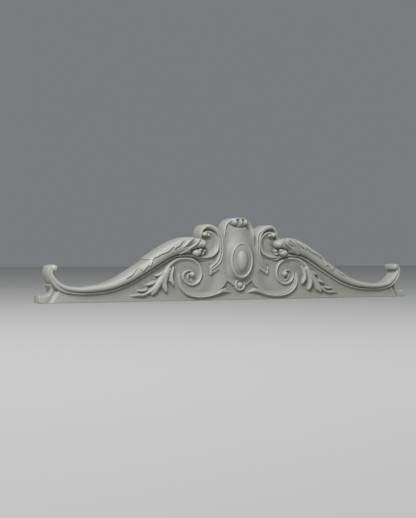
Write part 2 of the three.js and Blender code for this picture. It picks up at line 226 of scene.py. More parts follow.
# %% Stations of the mouldings
CORNICE = [
    [506.4, -25, 3.8, 0.7], [507.6, -20.4, 4.8, 0.65], [511.6, -18.6, 5.4, 0.6], [516, -20.8, 5.7, 0.55],
    [518.6, -26, 5.8, 0.5], [519, -33, 5.8, 0.5], [517, -40, 6.2, 0.5],
    [513, -47.5, 7, 0.5], [506, -56, 7.8, 0.55], [496, -64.5, 8.6, 0.65], [480, -72, 9.2, 0.8],
    [457, -76, 9.6, 0.9], [430, -76.8, 10, 1], [401, -74.3, 11.2, 1], [373, -70.5, 12, 1],
    [345, -62.5, 13.2, 1], [317, -50.5, 15, 1], [289, -35.5, 15.8, 1], [261, -19.5, 16.5, 1],
    [232, -0.8, 18, 1], [205, 15, 19.6, 1], [175, 26, 22.3, 1], [152, 30, 24.8, 0.9],
    [140, 28, 24.6, 0.3], [127, 22, 21, 0.05],
]
STRAP = [
    [111.5, 46, 1.2, 36], [113.4, 57, 1.2, 41], [113.4, 63.5, 1.8, 42], [111.6, 70, 2.4, 42.5],
    [108, 75.4, 3.2, 43], [102.8, 79.8, 4.2, 43.5], [95.8, 82.4, 5, 44], [87, 82, 5.4, 44],
    [78, 78.6, 5.8, 44], [69.5, 73.4, 6.4, 44], [62, 65.6, 6.8, 44], [57, 54, 6, 44], [55.2, 40, 5, 44.5],
    [54.8, 26, 5, 44.8],
    [56.8, 10, 5.2, 45], [61.4, -2.6, 5.4, 44.8], [68.6, -11.6, 5.4, 44.6], [76.4, -17.8, 5.2, 44.6],
    [82.6, -22.8, 4.8, 44.4],
]
SCROLL = [
    [134, 10, 5, 41], [118, 8.6, 6.2, 42], [101, 9.4, 8, 42.5], [87, 12.6, 8.8, 43], [76, 19, 8.8, 43],
    [69.6, 29, 8.4, 42.5], [68.2, 41, 8, 42], [71, 50, 7.6, 41.5], [76.6, 57.4, 7.4, 41],
    [84.6, 61.8, 7.2, 41], [93.5, 63.6, 6.6, 41], [100, 63.2, 6.2, 41.5], [104.6, 61.6, 6.6, 42],
]
SPIRAL = [
    [209, -26, 8, 45], [197, -14, 7, 43.5], [181, -4.5, 6, 42.5], [164, -1.2, 5.2, 42], [148, -1.8, 5, 42],
    [134, -6.2, 5, 42], [122.5, -14.6, 5, 42], [116.6, -26, 5, 42], [115.2, -38.5, 4.8, 42],
    [119, -50.6, 4.4, 42], [128, -59.6, 4, 42], [141, -62.9, 3.8, 42], [154.6, -58.6, 3.6, 42],
    [163.2, -48.6, 3.4, 42],
    [163.4, -38.8, 3.2, 42], [156.4, -32.4, 3, 42], [148, -30.4, 3, 42.5], [141, -31.4, 2.6, 44.5],
]
ARM = [
    [177, -38, 1.2, 40], [175, -52, 4.6, 42], [168.5, -66, 8, 43], [156.5, -76, 10.6, 43.5],
    [143, -81, 12.2, 43.5], [125.5, -82.4, 14.2, 43.5], [108.5, -79, 18.4, 43.5],
    [94, -72.5, 23.5, 43.5], [79, -66, 25, 43.5], [64, -60, 26, 43.5],
]
HEAD = [[150, 36, 14, 54], [133, 39, 13, 55.5], [121, 39.5, 11.6, 56], [114, 38.5, 10.4, 55]]
print(f"{len(CORNICE)} stations carry the cornice, {len(SPIRAL)} the spiral")

# %% [markdown]
# ## The ground: field, end block and pocket
#
# Behind the carving lies a flat field with a straight lower edge. At each end it stops at a slanted bevel,
# beside a lower block that has a cove cut into its corner. Inside the upper scroll the ground is deeper,
# and low ripples run along the scroll. A flat outline with Solidify would do for these alone, but here they
# join the one relief, so each is a plate whose depth comes from the distance to its edge.

# %% Field with its slanted bevel
NICK, NARROWED = 2.6, 2.3        # step in the crest beside the leaf, and what the lower edge gives up
BEVEL_WIDTH = 8
cornice = follow(CORNICE)
nick = NICK * smooth(Z, -1.6, -0.8) * smooth(Z, 32, 4)
cornice["across"] -= nick * smooth(cornice["across"], 0, cornice["width"])
narrowed = NARROWED * smooth(U, 500, 470)
cornice["across"] -= narrowed * smooth(-cornice["across"], 0, cornice["width"])
cornice_line = smooth_route(CORNICE)[::12, :2]
slant_foot = np.array([523, BOTTOM])
slant_top = np.array([506, -77])
field_reach = inside([[-40, BOTTOM], slant_foot, slant_top, *cornice_line[14:], [112, 6], [88, 6], [70, 16],
                      [60, 16], [-40, 30]])
slant = slant_top - slant_foot
slant_away = ((slant_foot[0] - U) * slant[1] - (slant_foot[1] - Z) * slant[0]) / np.hypot(*slant)
bevel = smooth(slant_away, 0, BEVEL_WIDTH) * 0.35 + 0.65 * np.clip(slant_away / BEVEL_WIDTH, 0, 1)
field = plate(field_reach, mix(END_DEPTH - 1.2, FIELD, bevel))

# %% End block with its cove
COVE_U, COVE_Z, COVE_RADIUS = 527.5, -73.4, 13
turn = math.acos(4 / COVE_RADIUS)
arc = np.linspace(-turn, -math.pi - turn, 24)
cove_outline = [[COVE_U + COVE_RADIUS * math.cos(a), COVE_Z + COVE_RADIUS * math.sin(a)] for a in arc]
end_reach = inside([[HALF_LENGTH, BOTTOM], [HALF_LENGTH, cove_outline[0][1]], *cove_outline, [512, -58],
                    [500, -70], [500, BOTTOM]])
end_block = plate(end_reach, END_DEPTH) - 1.0 * bump(slant_away, -0.6, 1.0)

# %% Pocket floor inside the upper scroll
scroll = follow(SCROLL, margin=16)
pocket_reach = inside([
    [60, -2], [122, -2], [120, 44], [113.4, 57], [113.4, 65], [111.4, 70], [108, 75.4], [102.8, 79.8],
    [95.8, 82.4], [87, 82], [78, 78.6], [69.5, 73.4], [62, 65.6], [56, 30],
])
beside_scroll = np.abs(scroll["across"]) - scroll["width"]
ripples = 1.0 * bump(beside_scroll, 3.5, 1.6) + 0.6 * bump(beside_scroll, 9, 1.8)
pocket = plate(pocket_reach, POCKET_DEPTH + ripples * smooth(-Z, -52, -44))
print(f"field {np.count_nonzero(field_reach > 0)} points, end block {np.count_nonzero(end_reach > 0)}")

# %% [markdown]
# ## The cornice
#
# From its lower edge up, the moulding has an arris, a narrow fillet, a groove and an ovolo. A curve with a
# bevel profile would scale all four with the width of the band. On the real one the first three keep their
# size, because the moulding tool was the same, and the ovolo takes the rest. So the section is written in
# millimetres from the lower edge, not in shares.

# %% Section of the cornice
FILLET_FROM, FILLET_TO = 1.6, 4.4      # millimetres from the lower edge
GROOVE_FROM, OVOLO_FROM = 6, 7.8
FULL_SIZE = 9.5                        # half width from which the members have their full size
HEAD_SINK = 14                         # how far the lower members sink where the head begins


def cornice_section(v, path):
    """Depth over the distance d from the lower edge. Piecewise: fillet, groove, and on what is left an ovolo
    (1 - t^2)^0.6, t being the distance from its crest. In the curled end it is one plain round instead."""
    width = path["width"]
    scale = np.minimum(1, width / FULL_SIZE)
    d = (v + 1) * width / scale
    full = 2 * width / scale
    crest = FIELD + (6.5 + 0.24 * 2 * width) * path["depth"]
    fillet = EDGE_DEPTH + (FILLET_DEPTH - EDGE_DEPTH) * smooth(d, 0.2, FILLET_FROM)
    members = mix(fillet, GROOVE_DEPTH, smooth(d, FILLET_TO, GROOVE_FROM))
    share = (d - OVOLO_FROM) / (full - OVOLO_FROM)
    swell = np.clip(1 - ((share - 0.5) / 0.56) ** 2, 0, 1) ** 0.6
    ovolo = mix(EDGE_DEPTH - 0.6, crest, swell)
    rising = np.maximum(mix(GROOVE_DEPTH, ovolo, smooth(share, 0, 0.06)), members)
    moulded = np.where(share > 0, rising, members)
    plain = mix(EDGE_DEPTH, crest, np.sin(np.pi * np.minimum(0.5, d / full + 0.1)))
    return mix(np.maximum(plain - 1, ovolo), moulded, smooth(path["share"], 0.03, 0.15))


cornice_depth = form(cornice, cornice_section)
lower_members = smooth(cornice["across"] / cornice["width"], -0.1, -0.5)
cornice_depth -= HEAD_SINK * smooth(U, 144, 128) * lower_members
cornice_reach = reach_of(cornice)
print(f"cornice crest {cornice_depth.max():.1f} mm off the wall")

# %% [markdown]
# ## The leaf on the cornice
#
# An acanthus leaf lies along the top of the cornice, with a jagged lower edge: each lobe ends in a
# tip that points back down the slope. It could be a separate mesh laid on the cornice, but a carver makes
# both from one block: a thin plate with the jagged outline is left standing on the ovolo, and a gouge
# cuts a line along its edge and between the lobes of its head. Both steps are formulas here.

# %% Lobes and cuts
def lobes(shapes, floor, standing, crest=0.0):
    """Depths of leaf lobes given by their stations. A lobe stands at a share of its rise along its edges
    and swells to its crest, at v = crest, as 1 - t^2.2, t being the share of the way from there out."""
    def section(v, path):
        t = np.where(v > crest, (v - crest) / (1 - crest), (crest - v) / (1 + crest))
        return mix(floor, path["depth"], standing + (1 - standing) * (1 - t ** 2.2))
    return [form(follow(stations), section) for stations in shapes]


def cuts(lines):
    """Depth taken away by gouge cuts: rows of [u, z, half width, depth], with a rounded V across."""
    deepest = np.zeros(U.shape)
    for stations in lines:
        path = follow(stations)
        deepest = np.maximum(deepest, path["depth"] * np.exp(-np.abs(path["across"] / path["width"]) ** 1.5))
    return deepest


# %% The leaf
JAGGED_EDGE = [
    [327.2, -48.3], [319.3, -43.3], [311.5, -39.4], [300.2, -28.4], [293.5, -23.4], [288.9, -25.4],
    [286.1, -28.4], [284.4, -32], [278.7, -27.5], [274.2, -21.4], [268.5, -16.4], [261.7, -19.4],
    [258.8, -11.4], [255.9, -4.3], [252.5, 1.8], [249.1, 3.3], [243.3, 4.9], [236.4, 9], [228.3, 12.5],
    [221.4, 14.1], [213.2, 18.2], [205.1, 24.3], [199.3, 29], [195.8, 22.3], [189.9, 28.5], [185.2, 29.6],
    [178.2, 36.8], [169.9, 43],
]
LEAF_STANDS, LEAF_CURLS = 2.4, 0.9     # how far the leaf stands off the ovolo, and its edge off the leaf
leaf_reach = inside([*JAGGED_EDGE, [160, 62], [200, 60], [262, 20], [330, -36]])
leaf_lift = LEAF_STANDS * smooth(leaf_reach, -0.3, 1) + LEAF_CURLS * bump(leaf_reach, 1.8, 1.4)
leaf_fade = smooth(U, 166, 182)
leaf_plate = np.where(leaf_reach > -0.5, cornice_depth + leaf_lift * leaf_fade, -np.inf)
leaf_cuts = cuts([
    [[327, -49, 1, 1], [311.5, -40.4, 1.1, 2], [300.2, -29.4, 1.1, 2], [293.5, -24.2, 1, 0.8]],
    [[284, -33, 1, 1], [278.7, -28.3, 1.1, 2], [274.2, -22.4, 1.1, 2], [268.5, -17.2, 1, 0.8]],
    [[261, -19, 0.9, 0.6], [258, -11.2, 1, 1.2], [255, -4.8, 1, 1.4], [249, 2.4, 1, 1.6],
     [243, 4.1, 1, 1.8], [228.3, 11.6, 1.1, 2], [213.2, 17.4, 1.1, 2.2], [199.3, 28.4, 1.2, 2]],
    [[196.5, 22, 1.2, 1], [189.9, 27.5, 1.4, 3], [181.6, 32, 1.5, 3.4], [168.3, 43, 1.5, 2.6],
     [160, 49, 1.4, 0]],
    [[166, 29.5, 1.2, 0.5], [159, 31.2, 1.6, 3.2], [150, 34.6, 1.8, 4], [137.4, 43, 1.6, 2.6],
     [131, 48, 1.4, 0]],
    [[150, 26, 1.4, 1.5], [136.6, 32, 1.7, 3.6], [124.7, 42.4, 1.6, 2.4], [120, 47, 1.4, 0]],
])

# %% Head, and the small leaf at the foot
HEAD_LOBES = [
    [[144, 51, 4, 56], [157, 43.5, 6.5, 58.5], [166, 35, 6, 57], [176, 25, 4, 53], [184, 18, 2, 49]],
    [[126, 49, 4, 57], [134, 40.5, 4.6, 58.5], [142, 34, 4.4, 58], [153, 27, 3.6, 55.5], [165, 19, 2.6, 52],
     [178, 12.5, 1.4, 48]],
]
head = follow(HEAD)
head_depth = form(head, lambda v, path: mix(38, path["depth"], 0.3 + 0.7 * np.sqrt(1 - v**2)))
head_lobes = lobes(HEAD_LOBES, 44, 0.35)
FOOT_LEAF = [
    [[77, -90.5, 1.4, 43], [66, -86.5, 3, 44.5], [55, -82.4, 4, 44.5], [44, -80.6, 4.6, 43.5],
     [34, -82.6, 3.6, 40.5], [23, -87, 0.8, 37.5]],
    [[68, -85.5, 1.4, 43.5], [56, -79.6, 2.2, 45.5], [44, -76, 1.8, 44.5], [37, -76.6, 0.8, 41]],
]
foot_leaf = lobes(FOOT_LEAF, FIELD - 1, 0.3)
print(f"head {head_depth.max():.1f} mm off the wall, {len(foot_leaf)} lobes at the foot")

# %% Berries, knobs and the spiral's eye
BERRIES = [  # u, z, half width, half height, depth, floor
    [130.5, 16, 12.6, 9.2, 56, 42], [121.4, 22.4, 5, 4.6, 54.5, 44], [107.2, 20.6, 4.2, 4.2, 50, 38],
    [111.5, 13.4, 6, 4.4, 46, 38], [114.6, 38.4, 11.6, 10.8, 58, 40],
    [103, 62, 8, 6.6, 46.5, 36], [91.6, 60, 4.2, 4.4, 43.5, 34], [139.2, -38.4, 7.2, 7.2, 45.4, 36],
]


def dome(u, z, half_width, half_height, depth, floor=FIELD):
    """Half an ellipsoid: floor + rise * sqrt(1 - r^2), r being the distance from the middle in half sizes."""
    r = np.hypot((U - u) / half_width, (Z - z) / half_height)
    edge = min(half_width, half_height)
    return floor + (depth - floor) * np.sqrt(np.clip(1 - r**2, 0, 1)) - DRAFT * edge * np.clip(r - 1, 0, None)


berries = [dome(*berry) for berry in BERRIES]
print(f"{len(JAGGED_EDGE)} corners in the leaf's edge, {len(berries)} berries")

# %% [markdown]
# ## The sprig
#
# A spray of lobes hangs from the spiral under the cornice. Each lobe is convex, has a steep edge and is
# raised straight off the field. Lobes could be scaled copies of one mesh, but no two here have the same
# bend, so each is a band along its own stations, and all share one section.

# %% The sprig
SPRIG = [
    [[208, -26, 8, 46], [221, -44, 10.4, 47], [233, -58, 9, 47], [241.5, -69, 9, 46.5], [247, -77, 9.2, 45.5],
     [252, -84, 4.6, 44]],
    [[215, -38, 9, 46.5], [219.5, -54, 8.2, 47], [219.5, -63, 7.2, 47], [217.5, -71, 6.4, 46.5],
     [214.5, -77.5, 4.6, 45]],
    [[193, -19, 1.4, 43], [198.2, -32, 4, 45.5], [201, -44, 5.4, 46.5], [199.8, -52, 6, 46.5],
     [196, -59, 4.6, 45.5], [194, -63, 3.2, 44.5]],
    [[201.5, -46, 5.4, 46], [204.6, -53.5, 3, 44.5]],
    [[252, -75, 6, 45], [264, -81.5, 4, 43.5], [276, -87, 3.2, 43], [290, -87.6, 3, 42.5],
     [303, -89, 1.5, 41], [311, -90, 0.6, 39]],
    [[219, -30, 3.4, 42], [229, -36.4, 4, 44], [238, -39.8, 3.4, 43.5], [242.5, -40.6, 2, 42]],
    [[243, -55, 3.4, 42], [252, -59, 4.6, 44], [260, -61.4, 3.4, 43.5], [267, -63.4, 1.5, 41.5]],
    [[266, -74, 2.4, 42], [275, -76.6, 3.2, 43.5], [284, -77.2, 2.6, 43], [291, -76.8, 1.3, 41]],
]
sprig = lobes(SPRIG, FIELD - 2, 0.55, crest=0.1)
print(f"{len(sprig)} lobes in the sprig")

# %% [markdown]
# ## Strap, scroll, spiral and arm
#
# A carver leaves these standing as strips: the spiral leans outwards, the scroll is a dish with its crest
# outside, and the strap is round in its curl and has twin ridges below. The arm is a wide dish with a thin
# rim. One round bevel on a curve would make them all look like rope, so each has its own section.


# %% Sections of the strips
def strip(floor, left):
    """sqrt(1 - v^2), with the share left of the rise standing at the edges."""
    def section(v, path):
        return mix(floor, path["depth"], left + (1 - left) * np.sqrt(1 - v**2))
    return section


def leaning(floor):
    """Crest at v = 0.4: outside it sqrt(1 - ((v - 0.4) / 0.75)^2), a steep round, and inside it a long
    hollow slope, 0.25 + 0.75 ((v + 1) / 1.4)^1.4."""
    def section(v, path):
        outer = np.sqrt(np.clip(1 - ((v - 0.4) / 0.75) ** 2, 0, 1))
        inner = np.clip((v + 1) / 1.4, 0, 1) ** 1.4
        return mix(floor, path["depth"], np.where(v > 0.4, outer, 0.25 + 0.75 * inner))
    return section


def dished(floor):
    """Crest at v = -0.6, near the outer edge: outside it 0.3 + 0.7 sqrt(1 - ((v + 0.6) / 0.5)^2), and
    inside it a long hollow slope to the floor, 0.1 + 0.9 ((1 - v) / 1.6)^1.5."""
    def section(v, path):
        outer = np.sqrt(np.clip(1 - ((v + 0.6) / 0.5) ** 2, 0, 1))
        inner = np.clip((1 - v) / 1.6, 0, 1) ** 1.5
        return mix(floor, path["depth"], np.where(v < -0.6, 0.3 + 0.7 * outer, 0.1 + 0.9 * inner))
    return section


def strap_section(v, path):
    """In the curl a round band, 0.35 + 0.65 sqrt(1 - v^2). Down from it two thin ridges, bumps at
    v = -0.68 and v = 0.68 of spread 0.3, with a groove between them."""
    rounded = mix(36, path["depth"], 0.35 + 0.65 * np.sqrt(1 - v**2))
    ridges = np.maximum(bump(v, -0.68, 0.3), bump(v, 0.68, 0.3))
    ridged = mix(STRAPWORK_DEPTH - 1, path["depth"], ridges)
    return mix(rounded, ridged, smooth(path["share"], 0.49, 0.62))


def dish_section(v, path):
    """A thin rim, a bump 1.8 mm in from the outer edge, v = -1, a lower one 6.4 mm in, and a sweep that
    falls from half the rise at 2 mm to the floor at 18 mm."""
    edge = (v + 1) * path["width"]
    rim = np.maximum(bump(edge, 1.8, 1.9), 0.62 * bump(edge, 6.4, 1.8)) * smooth(path["past"], 3, 0)
    sweep = 0.5 * (1 - smooth(edge, 2, 18))
    return mix(FIELD + 0.2, path["depth"], np.maximum(rim, sweep))


# %% Outlines of the notched plate and the bowl
NOTCH_PEAK = [36.7, -54.8]             # where the plate's lower notch meets the bowl
NOTCHED_PLATE = [
    [-40, 66], [44, 66], [54, 52], [56, 40], [56.5, 24], [63.5, 10], [71, -6.3], [80, -13.4], [87.4, -19.4],
    [87.4, -38.2], [85.2, -40], [61.6, -26.6], [51.6, -38.5], NOTCH_PEAK, [20, -66.3], [0, -74], [-40, -74],
]
notched_reach = inside(NOTCHED_PLATE)
bowl_reach = inside([
    [190, 0], [182.4, -56.9], [176.5, -71.8], [162.3, -85.6], [140.9, -94.6], [116.4, -97.5], [90.3, -95.5],
    [72, -90.5], [71.3, -85.7], [50.6, -72.1], [44.4, -64.5], NOTCH_PEAK, [44, 0],
])
from_eye = np.hypot(U - 140, Z + 40)   # distance from the spiral's middle
bowl_rise = smooth(from_eye, 60, 97) * smooth(Z, 0, -16)
print(f"plate {np.count_nonzero(notched_reach > 0)} points, bowl {np.count_nonzero(bowl_reach > 0)}")

# %% The strips
COIL_LINE = [
    [141, -56, 1.2, 38.5], [147.5, -53.5, 1.6, 40], [151, -47.5, 1.6, 40.5], [150.4, -41, 1.6, 40.5],
    [146.5, -36.5, 1.6, 41.5], [142, -34.5, 1.4, 43],
]
FILLET_END = [
    [175.4, 6.2, 1.6, 41], [160, 8, 1.8, 41.5], [146.9, 8.1, 2, 41.5], [129.7, 5, 2, 41.5],
    [112.4, -1.3, 1.8, 41], [103.7, -2.8, 1.4, 40], [95, -3.2, 0.6, 38],
]
STRAP_END = [
    [84.4, -20.6, 1.4, 44.6], [85.4, -27, 1.4, 44.2], [85.6, -33, 1.4, 43.6], [85.4, -37.5, 1.3, 43],
]
STRIP_FLOOR = 34
strap = follow(STRAP)
strap_depth = form(strap, strap_section)
strips = [
    form(follow(STRAP_END), strip(38, 0.3)),
    form(follow(COIL_LINE), strip(STRIP_FLOOR, 0.3)),
    form(follow(FILLET_END), strip(STRIP_FLOOR, 0.4)),
    np.where(Z < 6, np.minimum(strap_depth, plate(notched_reach, 45.6)), strap_depth),
    form(scroll, dished(STRIP_FLOOR)),
    form(follow(SPIRAL), leaning(STRIP_FLOOR)),
    np.minimum(form(follow(ARM), dish_section), plate(bowl_reach, 44)),
    np.minimum(mix(FIELD, STRAPWORK_DEPTH, bowl_rise), plate(bowl_reach, STRAPWORK_DEPTH)),
]
print("strip depths:", [round(float(depth.max()), 1) for depth in strips])

# %% [markdown]
# ## Plate, cartouche, oval and bead
#
# Behind the cartouche lies a plate whose lower edge is cut into notches. The cartouche itself bulges
# forward down its middle, is hollow on both sides and has a rim round its top. On it sits an oval: a ring,
# a groove and a smooth domed boss, and a round bead below repeats it in small. Rings like these are often
# turned with Spin or a Screw modifier. As heights they need only the distance from their edge or middle.

# %% Notched plate
PLATE_LEANS_BACK = 10                  # how far the plate has sunk where it passes behind the curl
notched_plate = plate(notched_reach, STRAPWORK_DEPTH - PLATE_LEANS_BACK * smooth(Z, 18, 60))

# %% Cartouche face
CROWN = [  # only u and z matter here
    [0, TOP, 1, 1], [13, TOP - 1.2, 1, 1], [24.5, 101, 1, 1], [34.5, 93.5, 1, 1], [41, 84, 1, 1],
    [44, 72, 1, 1], [46.5, 58, 1, 1], [46, 40, 1, 1], [45, 20, 1, 1], [45, 0, 1, 1], [44, -20, 1, 1],
    [40, -38, 1, 1], [32, -52, 1, 1], [18, -63, 1, 1], [0, -67, 1, 1],
]
RIDGE_DEPTH, CROWN_RIDGE = 53.5, 41.5  # crest of the bulge, at the oval and at the crown
CROWN_RIM = 4.5
crown_line = smooth_route(CROWN)[::3, :2]
face_reach = inside([[-40, TOP], *crown_line, [-40, -67]])


def face_depth():
    """Hollow flanks, plus a bulge (1 - |u / reach|^n)^2 that fades downwards and is rounder at the top,
    plus a rim round the top. The face leans back towards the crown."""
    flank = mix(FACE_DEPTH, CROWN_DEPTH, smooth(Z, 25, 90))
    ridge = mix(RIDGE_DEPTH, CROWN_RIDGE, smooth(Z, 20, 75))
    reach = mix(51, 37, smooth(Z, 5, 62))
    roundness = mix(3, 2, smooth(Z, 10, 62))
    fullness = np.clip(1 - np.abs(U / reach) ** roundness, 0, None) ** 2
    bulge = (ridge - flank) * smooth(Z, -66, -18) * fullness
    rim = CROWN_RIM * bump(face_reach, 2.2, 2.6) * smooth(Z, 48, 68)
    return flank + bulge + rim


cartouche = plate(face_reach, face_depth())

# %% Oval and bead
def ring_inset(centre, half_width, half_height):
    """Distance in from an oval's edge: what must be taken off both half sizes for the smaller oval to pass
    through the point, found by Newton's rule on (u / (a - s))^2 + (z / (b - s))^2 = 1."""
    z = Z - centre
    smaller = min(half_width, half_height)
    inset = smaller * (1 - np.hypot(U / half_width, z / half_height))
    for _ in range(6):
        a = np.maximum(half_width - inset, 0.4)
        b = np.maximum(half_height - inset, 0.4)
        value = (U / a) ** 2 + (z / b) ** 2 - 1
        slope = 2 * U**2 / a**3 + 2 * z**2 / b**3
        inset = np.minimum(inset - value / np.maximum(slope, 1e-4), smaller - 0.5)
    return inset


OVAL_CENTRE, OVAL_HALF_WIDTH, OVAL_HALF_HEIGHT = -3.5, 32.6, 45
BOSS_HALF_WIDTH, BOSS_HALF_HEIGHT = OVAL_HALF_WIDTH - 13.4, OVAL_HALF_HEIGHT - 13
GROOVE_FLOOR = 44
RING_INSETS = [-4, 0, 1.4, 2.6, 3.8, 5.2, 7, 9.5, 11.5, 13]
RING_DEPTHS = [43, 50.6, 52.8, 53.4, 52.6, 49.4, 46.6, 45, 44.4, GROOVE_FLOOR]
oval_inset = ring_inset(OVAL_CENTRE, OVAL_HALF_WIDTH, OVAL_HALF_HEIGHT)
ring = np.interp(oval_inset, RING_INSETS, RING_DEPTHS)
boss_plan = np.hypot(U / BOSS_HALF_WIDTH, (Z - OVAL_CENTRE) / BOSS_HALF_HEIGHT)
boss = GROOVE_FLOOR + (DEEPEST - 44.4) * np.clip(1 - boss_plan**2.2, 0, 1) ** 0.62
oval = np.where(boss_plan < 1, np.maximum(boss, GROOVE_FLOOR), ring)
oval = np.where(oval_inset > RING_INSETS[0], oval, -np.inf)

BEAD_CENTRE = -65.5
BEAD_RADII = [0, 3.5, 7, 8, 9.5, 11, 12.5, 14, 15.8, 17, 20]
BEAD_DEPTHS = [47, 46.2, 42, 39.6, 39.6, 41.5, 43.6, 43.6, 41.5, 36, 20]
bead = np.interp(np.hypot(U, Z - BEAD_CENTRE), BEAD_RADII, BEAD_DEPTHS)
print(f"oval boss {boss.max():.1f} mm, ring {ring.max():.1f} mm off the wall")

# %% [markdown]
# ## Roll at the crown, end volute
#
# The crown ends in a small roll with three fat lobes, and each end of the cornice curls round a short
# drum. Both could be spheres pushed into the surface. As half ellipsoids in the relief they melt into
# it, and three gouge cuts below and between the lobes give them their dark lines.

# %% Crown roll and volute
ROLL_Z, ROLL_PITCH, ROLL_FLOOR = 93.8, 15.6, 30
roll = [dome(0, ROLL_Z, 5.6, 11.8, 50.5, ROLL_FLOOR), dome(ROLL_PITCH, ROLL_Z, 7.8, 9, 49, ROLL_FLOOR),
        dome(0, ROLL_Z + 1.5, 24, 8, 39.5, ROLL_FLOOR)]
roll_cuts = cuts([
    [[0, 80.4, 1.9, 4.5], [7, 81.6, 1.9, 4.5], [14, 83, 1.9, 4.5], [22, 86, 1.8, 3.5], [27, 90, 1.4, 0]],
    [[7.4, 101, 1.1, 3], [7.2, 86, 1.1, 3]],
    [[ROLL_PITCH - 0.6, 96, 1, 1.6], [ROLL_PITCH - 0.6, 91, 1, 1.6]],
])
VOLUTE_U, VOLUTE_Z, VOLUTE_RADIUS = 509.6, -21.2, 7.6
volute_reach = VOLUTE_RADIUS - np.hypot(U - VOLUTE_U, Z - VOLUTE_Z)
volute = dome(VOLUTE_U, VOLUTE_Z, VOLUTE_RADIUS, VOLUTE_RADIUS, 44.4, 39)
print(f"roll {max(lobe.max() for lobe in roll):.1f} mm, end volute {volute.max():.1f} mm off the wall")

# %% [markdown]
# ## One relief
#
# At every point the form that stands furthest off the wall wins, which does the work of many Boolean
# modifiers without their slivers. A light blur then rounds all inner corners and arrises together, as
# plaster, mould and paint do, and the outer edge is rounded by its distance from the outline. The outline
# is the union of everything that reaches back to the wall.

# %% Greatest depth, and the outline
forms = [field, end_block, pocket, cornice_depth, leaf_plate, head_depth, *head_lobes, *foot_leaf, *berries,
         *sprig, *strips, notched_plate, cartouche, oval, bead, *roll, volute]
relief = np.maximum.reduce(forms)
outline = np.maximum.reduce([field_reach, end_reach, pocket_reach, cornice_reach, reach_of(strap),
                             reach_of(head), face_reach, notched_reach, volute_reach])
print(f"{len(forms)} forms joined, deepest {relief.max():.1f} mm")


# %% Blur
def blurred(values, spread):
    """Weighted mean with weights exp(-x^2 / (2 spread^2)), first along one axis, then along the other. The
    half relief is mirrored at the centre line and held at its other edges."""
    taps = math.ceil(3 * spread / CELL)
    weights = np.exp(-((np.arange(-taps, taps + 1) * CELL / spread) ** 2) / 2)
    weights /= weights.sum()
    padded = np.pad(values, ((taps, taps), (0, taps)), mode="edge")
    padded = np.pad(padded, ((0, 0), (taps, 0)), mode="reflect")
    down = sum(w * padded[i:i + values.shape[0]] for i, w in enumerate(weights))
    return sum(w * down[:, i:i + values.shape[1]] for i, w in enumerate(weights))


# %% Hollows taken away, soft arrises and the rounded edge
LOWEST = 8.0                           # no form stands less far off the wall
EYE_HOLLOW, BOWL_HOLLOW = 3, 2         # depth of the gouged hollows beside the eye and along the bowl
NEAR, FAR = 3.0, 9.0                   # spreads of the two blurs that tell a hollow from a ridge
eye_hollow = EYE_HOLLOW * bump(np.hypot(U - 146, Z + 49.5), 0, 4)
bowl_hollow = BOWL_HOLLOW * bump(from_eye, 62, 17) * smooth(bowl_reach, 2, 16)
bowl_hollow *= smooth(Z, -4, -24) * smooth(U, 140, 98)
relief = np.maximum(relief, LOWEST) - leaf_cuts - roll_cuts - eye_hollow - bowl_hollow
relief = blurred(relief, SOFTNESS)
edge = np.clip(outline, 0, ARRIS)
relief = relief - (ARRIS - np.sqrt(ARRIS**2 - (ARRIS - edge) ** 2))
hollows = mix(blurred(relief, NEAR), blurred(relief, FAR), 0.25) - relief
print(f"hollows from {hollows[outline > 2].min():.1f} to {hollows[outline > 2].max():.1f} mm")

# %% [markdown]
# ## From the height to a mesh
#
# The half relief is mirrored, and every grid cell inside the outline becomes a quad. A Displace modifier
# on a plane could raise the same relief, but it would leave a stepped edge and no walls. Here the corners
# that lie along the edge of the patch are slid onto the outline itself. Walls then drop from them to the
# wall plane, and one flat face closes the back, so the piece is closed as a casting is.

# %% Whole relief
whole_relief = np.concatenate([relief[:, :0:-1], relief], axis=1)
whole_outline = np.concatenate([outline[:, :0:-1], outline], axis=1)
whole_hollows = np.concatenate([hollows[:, :0:-1], hollows], axis=1)
x_line = np.concatenate([-u_line[:0:-1], u_line])
slope_z, slope_x = np.gradient(whole_outline, z_line, x_line)


def sample(values, x, z):
    """Value of a grid at any x and z, mixed from the four corners of the cell they fall in."""
    column = np.clip((x - x_line[0]) / (x_line[1] - x_line[0]), 0, len(x_line) - 1.001)
    row = np.clip((z - z_line[0]) / (z_line[1] - z_line[0]), 0, len(z_line) - 1.001)
    j, i = column.astype(int), row.astype(int)
    s, t = column - j, row - i
    lower = mix(values[i, j], values[i, j + 1], s)
    upper = mix(values[i + 1, j], values[i + 1, j + 1], s)
    return mix(lower, upper, t)


# %% Front faces and edge corners
solid = whole_outline >= -1e-6
cells = solid[:-1, :-1] & solid[1:, :-1] & solid[:-1, 1:] & solid[1:, 1:]
number = np.arange(solid.size).reshape(solid.shape)
corner = [number[:-1, :-1], number[:-1, 1:], number[1:, 1:], number[1:, :-1]]
quads = np.stack([c[cells] for c in corner], axis=1)

framed = np.pad(cells, 1)
kept = framed[1:-1, 1:-1]
sides = [  # the two corners of each cell's lower, right, upper and left side, and the cell beyond it
    (0, 1, framed[:-2, 1:-1]), (1, 2, framed[1:-1, 2:]), (2, 3, framed[2:, 1:-1]), (3, 0, framed[1:-1, :-2]),
]
edge_pairs = np.vstack([
    np.stack([corner[a][kept & ~beyond], corner[b][kept & ~beyond]], axis=1) for a, b, beyond in sides])
rim = np.unique(edge_pairs)
print(f"{len(quads)} front quads, {len(rim)} corners on the edge")

